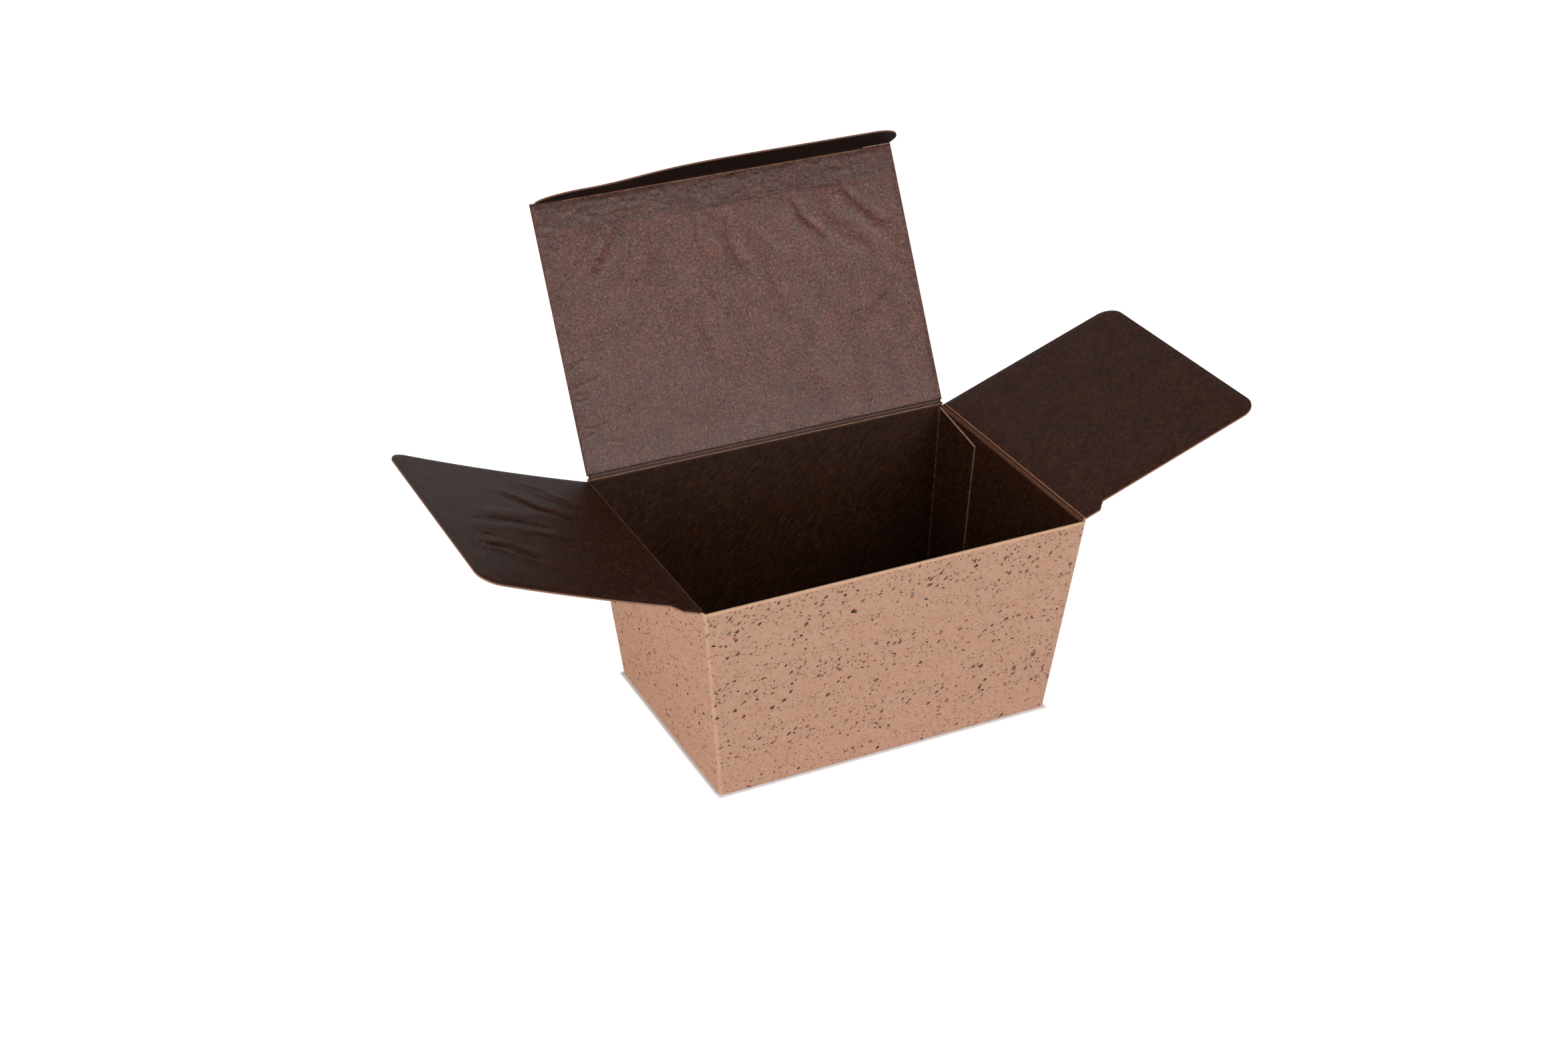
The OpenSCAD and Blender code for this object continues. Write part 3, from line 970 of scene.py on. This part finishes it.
@dataclass
class TuckSheet(LiningSheet):
    """One layer of the tuck flap, with its lock slits and round corners.

    The open flap has sprung back a little, so it bends less than it must to go in behind the
    front wall.
    front wall. As the lid shuts, the sheet is pressed flat to that place.
    """

    depths: tuple[float, float] = (0.0, 0.0)

    def rows(self) -> np.ndarray:
        """Rows with a close pair at the slits' edge, and closer ones round the corners."""
        b = self.blank
        corner = b.tuck_l - b.tuck_corner
        root = np.linspace(b.tuck_gap, b.slit_w - 0.01, 6)
        straight = np.linspace(b.slit_w + 0.01, corner, 9)
        quarter = np.linspace(0, math.pi / 2, 26)[1:]
        return np.concatenate([root, straight, corner + b.tuck_corner * np.sin(quarter)])

    def sides(self, v: np.ndarray) -> tuple[np.ndarray, np.ndarray]:
        """Narrow between the lock slits, then full, then drawn in round each corner's arc."""
        b = self.blank
        past = np.clip(v - (b.tuck_l - b.tuck_corner), 0, b.tuck_corner)
        arc = b.tuck_corner - np.sqrt(np.maximum(b.tuck_corner**2 - past**2, 0))
        half = b.tuck_w / 2 - arc - np.where(v < b.slit_w, b.slit_l, 0.0)
        return -half, half

    def relief(self, u: np.ndarray, v: np.ndarray) -> np.ndarray:
        """A flat face."""
        return 0 * u

    def warp(self, u: np.ndarray, v: np.ndarray) -> np.ndarray:
        """Lift of the twisted flap, which is bent most at its left end.

        The extra bend in degrees is 7.4 * exp(-((u + 45) / 22) ^ 2) - 1.2, and the lift is
        v times the sine of it.
        """
        bend = 7.4 * np.exp(-((np.maximum(u + 45, 0) / 22) ** 2)) - 1.2
        return v * np.sin(np.radians(bend))

    def layer(self) -> tuple[float, float]:
        """Heights of the layer's two faces over the crease, which lies in the board's middle."""
        return self.depths

    def build(self) -> bpy.types.Object:
        """Builds the layer, and gives the piece a mesh of its own."""
        piece = super().build()
        anchor = tuple(float(c) for c in MM * self.panel.origin)
        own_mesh(piece)
        return piece


class Side(enum.Enum):
    """The two faces of the sheet at a crease."""

    KRAFT = "board"
    LINED = "lining"


@dataclass
class Crease:
    """The sheet where it bends from one panel to the next, as a board strip and a lining strip."""

    name: str
    parent: str
    child: str
    centre: np.ndarray
    line: np.ndarray
    ends: tuple[float, float]
    before: np.ndarray
    after: np.ndarray
    before_in: np.ndarray
    after_in: np.ndarray
    blank: Blank
    reach: float = 1.5
    start_depth: float = 0.0
    proud: float = 0.03
    sink: float = 0.07
    pitch: float = 0.8
    turn_reach: float = 0.35

    def path(self, depth: float, sunk: float) -> tuple[np.ndarray, np.ndarray]:
        """Line across the crease at a depth below its kraft face.

        It runs in on the first panel, turns about the crease along a circle whose radius is
        the depth, and runs out on the second panel. Near its two ends it sinks.

        Args:
            depth: distance from the kraft face, towards the lined face.
            sunk: how far the ends lie deeper or shallower.

        Returns:
            The points, and each one's distance along the line from the crease.
        """
        legs = np.array([1.0, 0.82, 0.6, 0.42, 0.3]) * self.reach
        turn = np.linspace(0, 1, 9)
        angle = math.acos(np.clip(np.dot(self.before_in, self.after_in), -1, 1))
        mixed = (
            np.sin((1 - turn) * angle)[:, None] * self.before_in
            + np.sin(turn * angle)[:, None] * self.after_in
        ) / max(math.sin(angle), 1e-6)
        depths = depth + sunk * eased(legs, 0.55 * self.reach, self.reach)
        first = legs[:, None] * self.before + depths[:, None] * self.before_in
        last = legs[::-1, None] * self.after + depths[::-1, None] * self.after_in
        lead = 0.18 * self.reach * np.abs(2 * turn - 1)[:, None]
        half = np.where(turn[:, None] < 0.5, self.before, self.after) * lead
        middle = max(depth, 0.0) * mixed + half
        middle = middle + min(depth, 0.0) * mixed
        points = np.concatenate([first, middle, last])
        steps = np.linalg.norm(np.diff(points, axis=0), axis=1)
        places = np.concatenate([[0], np.cumsum(steps)])
        return points, places - places[len(points) // 2]

    def strip(self, side: Side, finish: bpy.types.Material) -> bpy.types.Object:
        """Builds one of the two strips, bent round the crease, in the world's frame."""
        board, sheet = self.blank.board, self.blank.sheet
        shift = self.start_depth
        if side is Side.KRAFT:
            shown, places = self.path(shift - self.proud, self.sink)
            hidden, _ = self.path(shift + board - 0.02, 0.0)
        else:
            shown, places = self.path(shift + sheet + self.proud, -self.sink)
            hidden, _ = self.path(shift + board - self.proud, 0.0)
        count = max(3, round((self.ends[1] - self.ends[0]) / self.pitch))
        run = np.linspace(*self.ends, count)
        carry = run[:, None, None] * self.line
        upper = MM * (self.centre + carry + shown[None])
        lower = MM * (self.centre + carry + hidden[None])
        name = f"{self.name}_{side.value}"
        piece = closed_sheet(name, upper, lower, places[None, :], run[:, None])
        piece.data.materials.append(finish)
        start = MM * (self.centre + self.turn_reach * self.before)
        end = MM * (self.centre + self.turn_reach * self.after)
        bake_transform(piece)
        LOG.info("%s: %d points across, %d along", name, len(places), count)
        return piece


@dataclass
class Ballotin:
    """The whole box: its panels' frames, its linings, its creases and its finishes."""

    blank: Blank = field(default_factory=Blank)

    def __post_init__(self) -> None:
        """Works out the four panels' frames from the blank's sizes."""
        b = self.blank
        x = np.array([1.0, 0.0, 0.0])
        lean = math.radians(b.lid_lean)
        lid_out = np.array([0.0, math.sin(lean), math.cos(lean)])
        lid_in = np.array([0.0, -math.cos(lean), math.sin(lean)])
        self.lid = Panel(np.array([0.0, b.half_d(b.back_h), b.back_h]), x, lid_out, lid_in)
        bend = math.radians(b.tuck_bend)
        front = self.lid.origin + b.lid_l * lid_out + 0.5 * b.board * lid_in
        tuck_out = math.cos(bend) * lid_out + math.sin(bend) * lid_in
        tuck_in = math.cos(bend) * lid_in - math.sin(bend) * lid_out
        self.tuck = Panel(front, x, tuck_out, tuck_in)
        self.left = self._side_panel(-1, b.left_rise, b.left_curl)
        self.right = self._side_panel(1, b.right_rise, 0.0)

    def _side_panel(self, side: int, rise: float, curl: float) -> Panel:
        """Frame of the left flap, side -1, or the right flap, side 1."""
        b, turn = self.blank, math.radians(rise)
        out = np.array([side * math.cos(turn), 0.0, math.sin(turn)])
        normal = np.array([-side * math.sin(turn), 0.0, math.cos(turn)])
        origin = np.array([side * b.half_w(b.side_h), 0.0, b.side_h])
        return Panel(origin, np.array([0.0, 1.0, 0.0]), out, normal, curl)

    def dress_boards(self, nodes: dict[str, bpy.types.Object]) -> None:
        """Gives each board its own kraft finish, which knows the board's cut edges."""
        facings = {
            "lid_board": self.lid.normal,
            "left_flap_board": self.left.normal,
            "right_flap_board": self.right.normal,
        }
        edge = from_screen(138, 96, 74)
        self.kraft = KraftFinish("kraft_tray", EdgeRule.TRAY).make()
        self._assign(nodes["tray_board"], self.kraft)
        for name, facing in facings.items():
            facing = tuple(float(c) for c in facing)
            finish = KraftFinish(f"kraft_{name}", EdgeRule.PANEL, facing, cut=edge)
            self._assign(nodes[name], finish.make())
        inside = LiningFinish(
            "lining_tray", **tones((48, 27, 18), (62, 34, 21), (26, 15, 11), (80, 52, 36)),
            roughness=0.75, gloss=0.08, depth=0.05, strokes=0.6, worn_fold=True,
        )
        self._assign(nodes["tray_lining"], inside.make())
        LOG.info("boards and tray lining dressed")

    @staticmethod
    def _assign(node: bpy.types.Object, material: bpy.types.Material) -> None:
        """Puts a material in every slot of a node."""
        if not node.material_slots:
            node.data.materials.append(material)
        for place in node.material_slots:
            place.material = material

    def lay_linings(self) -> None:
        """Builds the linings of the lid, the tuck flap and the side flaps."""
        # Painted light: the lid's lining is the same paper as the flaps' but given lighter tones.
        # Its grain runs at full contrast to a pale fibre tone, partly real grain and partly painted
        # sheen flecks.
        lid_lit_finish = LidFinish(
            "lining_lid", **tones((96, 53, 41), (120, 61, 45), (26, 14, 11), (164, 122, 104)),
            contrast=1.0, depth=0.2, roughness=0.42, gloss=0.42, panel=self.lid,
        ).make()
        right_finish = LiningFinish(
            "lining_right_flap", **tones((58, 32, 23), (80, 42, 28), (26, 15, 12), (110, 66, 44)),
            contrast=1.0, depth=0.2, strokes=0.3, gloss=0.22,
        ).make()
        # Painted shade: the left flap's lining is the same paper as the right flap's, given darker
        # tones.
        left_shaded_finish = LiningFinish(
            "lining_left_flap", **tones((53, 27, 18), (74, 39, 25), (20, 12, 10), (104, 62, 42)),
            contrast=1.0, depth=0.22, strokes=0.3, roughness=0.38, gloss=0.14,
        ).make()
        b = self.blank
        LidLining(
            "lid_lining_paper", "lid_lining", "lid", self.lid, b, 0.45,
            wrinkles=LID_WRINKLES, finish=lid_lit_finish,
        ).build()
        # Painted shade: the tuck flap's lining is the same paper as the lid's, given near-black
        # tones.
        tuck_shaded_finish = LiningFinish(
            "lining_tuck", **tones((28, 17, 13), (36, 21, 16), (16, 10, 8), (50, 32, 25)),
            gloss=0.05,
        ).make()
        half = b.board / 2
        TuckSheet(
            "tuck_lining_paper", "tuck_flap_lining", "tuck_flap", self.tuck, b, 0.8,
            finish=tuck_shaded_finish, depths=(half, half + b.lining),
        ).build()
        facing = tuple(float(c) for c in self.tuck.normal)
        # Painted shade: the tuck board's cut edge is a darker brown than the other boards' cut
        # edges.
        cut = from_screen(112, 74, 54)
        TuckSheet(
            "tuck_board_sheet", "tuck_flap_board", "tuck_flap", self.tuck, b, 0.8,
            finish=KraftFinish("kraft_tuck", EdgeRule.PANEL, facing, cut=cut).make(),
            depths=(-half, half - 0.004), colour="kraft_board",
        ).build()
        FlapLining(
            "left_lining_paper", "left_flap_lining", "left_flap", self.left, b, 0.45,
            wrinkles=LEFT_WRINKLES, finish=left_shaded_finish,
        ).build()
        FlapLining(
            "right_lining_paper", "right_flap_lining", "right_flap", self.right, b, 0.6,
            finish=right_finish, amount=0.5, seed=60,
        ).build()

    def join_creases(self) -> None:
        """Builds the strips of sheet across the four creases."""
        b = self.blank
        thin = (RubbedLine(0.1, 0.2, 0.8),)
        back = (RubbedLine(-0.5, 0.2, 1.0), RubbedLine(0.45, 0.12, 0.5))
        rough = (
            RubbedLine(0.85, 0.24, 1.0), RubbedLine(-0.2, 0.14, 0.8), RubbedLine(-0.8, 0.14, 0.7)
        )
        worn = {
            "lid_crease": CreaseFinish("lining_lid_crease", lines=back),
            "tuck_crease": CreaseFinish("lining_tuck_crease", lines=(RubbedLine(-0.2, 0.24, 1.0),)),
            "left_crease": CreaseFinish("lining_left_crease", lines=thin),
            "right_crease": CreaseFinish(
                "lining_right_crease", band=0.6, band_half=1.1, lines=rough
            ),
        }
        wall_d = (b.top_d - b.base_d) / 2 / b.back_h
        wall_w = (b.top_w - b.base_w) / 2 / b.back_h
        x, y = np.array([1.0, 0.0, 0.0]), np.array([0.0, 1.0, 0.0])
        half = b.half_d(b.side_h)
        creases = [
            Crease(
                "lid_crease", "tray", "lid", self.lid.origin, x,
                (-b.lid_w / 2 + 0.5, b.lid_w / 2 - 0.5),
                unit([0, -wall_d, -1]), self.lid.along,
                unit([0, -1, wall_d]), self.lid.normal, b,
            ),
            Crease(
                "tuck_crease", "lid", "tuck_flap", self.tuck.origin, x,
                (-b.tuck_w / 2 + b.slit_l, b.tuck_w / 2 - b.slit_l),
                -self.lid.along, self.tuck.along, self.lid.normal, self.tuck.normal, b,
                start_depth=-b.board / 2,
            ),
        ]
        for panel, side in ((self.left, -1), (self.right, 1)):
            creases.append(
                Crease(
                    "left_crease" if side < 0 else "right_crease", "tray",
                    "left_flap" if side < 0 else "right_flap", panel.origin, y,
                    (-(half - b.shoulder_gap), half - b.flap_back_gap),
                    unit([-side * wall_w, 0, -1]), panel.along,
                    unit([-side, 0, wall_w]), panel.normal, b,
                )
            )
        for crease in creases:
            crease.strip(Side.KRAFT, self.kraft)
            crease.strip(Side.LINED, worn[crease.name].make())


LID_WRINKLES = tuple(Wrinkle(*row) for row in (
    (((-8.6, 68.4), (-7.6, 60.0), (-7.2, 42.0)), -0.6, 1.6),
    (((-4.8, 68.4), (-3.6, 58.0), (-3.2, 42.0)), 0.55, 1.9),
    (((0.6, 68.4), (1.0, 60.0), (3.0, 47.0)), -0.5, 1.4),
    (((4.2, 68.4), (4.4, 60.0), (6.4, 47.0)), 0.42, 1.8),
    (((-36.9, 68.8), (-41.0, 63.0), (-47.9, 54.2)), 0.36, 1.2),
    (((-33.6, 68.8), (-38.0, 62.8), (-45.0, 54.0)), -0.3, 1.1),
    (((-30.1, 68.0), (-35.0, 62.0), (-42.8, 52.0)), 0.38, 1.3),
    (((-21.0, 68.4), (-24.0, 60.0), (-29.0, 50.0)), -0.36, 1.5),
    (((34.4, 69.3), (37.8, 62.4), (49.6, 50.8)), 0.52, 2.0),
    (((37.2, 69.3), (41.0, 63.6), (51.4, 54.5)), -0.42, 1.3),
    (((18.4, 68.0), (21.4, 60.3), (28.4, 51.2)), 0.46, 2.1),
    (((21.2, 68.0), (24.4, 61.0), (31.6, 52.4)), -0.38, 1.4),
    (((26.0, 63.2), (33.0, 55.4), (44.9, 44.5)), 0.48, 2.0),
    (((50.2, 43.4), (44.0, 36.0), (32.7, 27.4)), -0.45, 1.5),
    (((10.0, 62.0), (13.0, 48.0), (12.0, 32.0)), -0.36, 2.3),
    (((-14.0, 44.0), (-11.0, 26.0), (-14.0, 6.0)), -0.36, 2.3),
    (((20.0, 38.0), (18.0, 22.0), (23.0, 4.0)), -0.28, 2.5),
    (((-56.5, 29.9), (-52.0, 31.8), (-47.3, 31.5)), 0.3, 0.42),
    (((-56.5, 24.2), (-51.0, 25.8), (-46.3, 26.1)), 0.32, 0.42),
    (((-56.5, 22.3), (-52.8, 22.9)), 0.28, 0.4),
    (((-56.5, 20.3), (-51.2, 22.0)), 0.28, 0.4),
    (((-56.5, 13.9), (-51.0, 13.2), (-45.8, 14.1)), 0.3, 0.42),
    (((-56.5, 10.1), (-52.0, 12.3), (-46.8, 13.1)), 0.32, 0.42),
    (((-48.7, 8.4), (-42.8, 8.7)), 0.22, 0.4),
))
LEFT_WRINKLES = tuple(Wrinkle(*row) for row in (
    (((-1.7, 53.0), (-0.6, 39.6), (-1.9, 20.9)), 0.6, 1.8),
    (((3.0, 51.0), (4.0, 38.6), (3.6, 22.9)), -0.52, 1.5),
    (((8.1, 48.3), (9.8, 32.0), (12.5, 14.7)), 0.56, 2.0),
    (((-10.3, 53.3), (-10.3, 43.2), (-16.3, 35.2)), 0.5, 1.4),
    (((-13.6, 52.9), (-17.2, 44.0), (-22.8, 36.0)), 0.5, 1.4),
    (((-6.4, 52.0), (-6.9, 44.0), (-10.8, 34.0)), -0.45, 1.3),
    (((-11.8, 52.0), (-13.7, 44.0), (-19.4, 36.0)), -0.4, 0.9),
    (((26.3, 36.1), (17.8, 24.8), (11.4, 13.7)), 0.55, 1.6),
    (((22.3, 36.0), (14.5, 25.0), (9.4, 15.0)), -0.4, 1.3),
    (((30.0, 30.0), (23.0, 20.5), (16.0, 10.0)), -0.45, 1.4),
    (((33.0, 25.0), (26.0, 15.0), (18.0, 8.0)), 0.45, 1.4),
))


@dataclass(frozen=True)
class Lamp:
    """Soft rectangular lamp that looks at the box."""

    name: str
    toward: Vector3
    distance: float
    width: float
    height: float
    share: float
    in_gloss: bool = False
    in_matt: bool = True

    def place(self, target: np.ndarray) -> None:
        """Places the lamp.

        A white face turned to the lamp shows its share of full white, so its power is
        share * pi ^ 2 * distance ^ 2 watts.
        """
        data = bpy.data.lights.new(self.name, "AREA")
        data.shape = "RECTANGLE"
        data.size, data.size_y = self.width, self.height
        data.energy = self.share * (math.pi * self.distance) ** 2
        lamp = bpy.data.objects.new(self.name, data)
        way = unit(self.toward)
        lamp.location = target + way * self.distance
        lamp.visible_glossy = self.in_gloss
        lamp.visible_diffuse = self.in_matt
        lamp.rotation_mode = "QUATERNION"
        lamp.rotation_quaternion = Vector(way).to_track_quat("Z", "Y")
        bpy.context.scene.collection.objects.link(lamp)


@dataclass
class Studio:
    """Pale floor, white surround, soft lamps and the camera."""

    azimuth: float = -25.64
    elevation: float = 28.92
    roll: float = -0.09
    distance: float = 0.6618
    target: Vector3 = (-0.0148, 0.0, 0.0579)
    lens: float = 55.83
    ambient: float = 0.12
    lamps: tuple[Lamp, ...] = (
        Lamp("key", (0.38, -0.805, 0.455), 1.1, 0.9, 0.7, 0.6),
        Lamp("sheen", (0.12, -0.972, 0.13), 1.3, 0.46, 0.34, 1.05, in_gloss=True, in_matt=False),
        Lamp("fill", (-0.95, -0.25, 0.14), 1.3, 1.0, 0.8, 0.84),
        Lamp("top", (-0.1, -0.2, 1.0), 1.3, 1.2, 1.2, 0.06),
    )

    def place_camera(self) -> None:
        """Places the camera at the photo's angle."""
        a, e = math.radians(self.azimuth), math.radians(self.elevation)
        back = Vector((math.sin(a) * math.cos(e), -math.cos(a) * math.cos(e), math.sin(e)))
        data = bpy.data.cameras.new("camera")
        data.sensor_width, data.lens = 36.0, self.lens
        data.clip_start, data.clip_end = 0.01, 50.0
        data.dof.use_dof = False
        camera = bpy.data.objects.new("camera", data)
        camera.location = Vector(self.target) + back * self.distance
        camera.rotation_mode = "QUATERNION"
        turn = (-back).to_track_quat("-Z", "Y")
        camera.rotation_quaternion = turn @ Quaternion((0, 0, 1), math.radians(self.roll))
        bpy.context.scene.collection.objects.link(camera)
        bpy.context.scene.camera = camera

    def light(self) -> None:
        """Places the lamps and the surround, which is white to the camera and in low gloss."""
        for lamp in self.lamps:
            lamp.place(np.array(self.target))
        world = bpy.data.worlds.new("surround")
        bpy.context.scene.world = world
        tree = NodeTree(world)
        rays = tree.node("ShaderNodeLightPath")
        seen = tree.value(rays, "Is Camera Ray").at_least(tree.value(rays, "Is Transmission Ray"))
        glossy = tree.value(rays, "Is Glossy Ray")
        _, _, up = tree.parts(tree.node("ShaderNodeTexCoord").outputs["Generated"])
        low = up.size().ease(0.45, 0.2)
        level = seen.at_least(glossy * low)
        strength = level * (1 - self.ambient) + self.ambient
        shader = tree.node("ShaderNodeBackground", {}, {"Color": WHITE, "Strength": strength})
        tree.node("ShaderNodeOutputWorld", {}, {"Surface": shader.outputs[0]})

    def lay_floor(self) -> None:
        """Lays the floor, which is white away from the box's base; next to the base its glow falls,
        a painted contact shadow, over the shadow the lamps cast.
        """
        half, near, far, dark, lit = 6.0, 0.2, 1.7, 0.12, 0.84
        mesh = bpy.data.meshes.new("floor")
        corners = [(-half, -half, 0), (half, -half, 0), (half, half, 0), (-half, half, 0)]
        mesh.from_pydata(corners, [], [(0, 1, 2, 3)])
        floor = bpy.data.objects.new("floor", mesh)
        bpy.context.scene.collection.objects.link(floor)
        material = bpy.data.materials.new("floor_paper")
        tree = NodeTree(material)
        rays = tree.node("ShaderNodeLightPath")
        camera = tree.value(rays, "Is Camera Ray")
        x, y, _ = tree.parts(tree.point())
        past_x = (x.size() - HALF_BASE_W).at_least(0.0)
        past_y = (y.size() - HALF_BASE_D).at_least(0.0)
        away = (past_x * past_x + past_y * past_y).maths("SQRT")
        # Painted shadow: the glow is dark next to the base's footprint and white from 1.7 mm out.
        level = camera * (away.ease(near, far) * lit + dark)
        matt = tree.node("ShaderNodeBsdfDiffuse", {}, {"Color": (0.8, 0.8, 0.8)})
        glow = tree.node("ShaderNodeEmission", {}, {"Color": WHITE, "Strength": level})
        both = tree.node("ShaderNodeAddShader", {}, {0: matt.outputs[0], 1: glow.outputs[0]})
        tree.node("ShaderNodeOutputMaterial", {}, {"Surface": both.outputs[0]})
        mesh.materials.append(material)


def main() -> None:
    """Builds the pieces in order and reports each."""
    logging.basicConfig(level=logging.INFO, format="%(message)s")
    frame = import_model()
    studio = Studio()
    studio.place_camera()
    studio.light()
    studio.lay_floor()
    bpy.context.scene.view_settings.view_transform = "Standard"
    box = Ballotin()
    box.dress_boards(frame["nodes"])
    box.lay_linings()
    box.join_creases()


if __name__ == "__main__":
    main()
